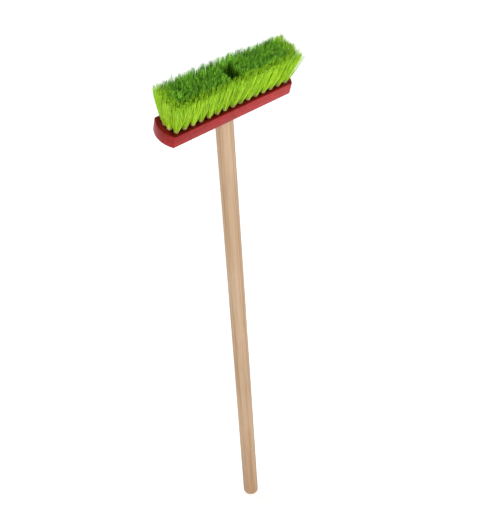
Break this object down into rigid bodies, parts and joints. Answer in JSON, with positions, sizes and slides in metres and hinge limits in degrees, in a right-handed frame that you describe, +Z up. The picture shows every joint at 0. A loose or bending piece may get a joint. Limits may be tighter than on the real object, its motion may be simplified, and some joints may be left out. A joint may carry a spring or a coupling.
{
  "type": "push broom",
  "caption": "Small push broom with a straight wooden handle slanted into a red painted wooden block, and short two-tone green bristles trimmed level.",
  "frame": {"origin": "centre of the end of the handle's butt", "axes": "+Z up the handle towards the head, +X along the block, -Y towards the side that the bristles lean to"},
  "size_m": [0.2096, 0.0633, 0.7929],
  "materials": {
    "handle_wood": "natural light wood, sanded smooth, thin matt lacquer",
    "block_paint": "wood under red gloss paint",
    "lime_bristle": "lime green synthetic bristle, slightly translucent",
    "green_bristle": "darker green synthetic bristle, slightly translucent",
    "zinc_steel": "zinc plated"
  },
  "bodies": {
    "root": {"block": "block_paint", "handle": "handle_wood", "handle_screw": "zinc_steel", "tuft_back_01": "lime_bristle", "tuft_back_02": "green_bristle", "tuft_back_03": "green_bristle", "tuft_back_04": "green_bristle", "tuft_back_05": "green_bristle", "tuft_back_06": "green_bristle", "tuft_back_07": "green_bristle", "tuft_back_08": "green_bristle", "tuft_back_09": "green_bristle", "tuft_back_10": "green_bristle", "tuft_back_11": "green_bristle", "tuft_back_12": "green_bristle", "tuft_back_13": "green_bristle", "tuft_back_14": "green_bristle", "tuft_back_15": "lime_bristle", "tuft_front_01": "lime_bristle", "tuft_front_02": "lime_bristle", "tuft_front_03": "lime_bristle", "tuft_front_04": "lime_bristle", "tuft_front_05": "lime_bristle", "tuft_front_06": "lime_bristle", "tuft_front_07": "lime_bristle", "tuft_front_08": "lime_bristle", "tuft_front_09": "lime_bristle", "tuft_front_10": "lime_bristle", "tuft_front_11": "lime_bristle", "tuft_front_12": "lime_bristle", "tuft_front_13": "lime_bristle", "tuft_front_14": "lime_bristle", "tuft_front_15": "lime_bristle", "tuft_inner_01": "lime_bristle", "tuft_inner_02": "green_bristle", "tuft_inner_03": "green_bristle", "tuft_inner_04": "green_bristle", "tuft_inner_05": "green_bristle", "tuft_inner_06": "green_bristle", "tuft_inner_07": "green_bristle", "tuft_inner_08": "green_bristle", "tuft_inner_09": "green_bristle", "tuft_inner_10": "green_bristle", "tuft_inner_11": "green_bristle", "tuft_inner_12": "green_bristle", "tuft_inner_13": "green_bristle", "tuft_inner_14": "lime_bristle"}
  },
  "joints": []
}
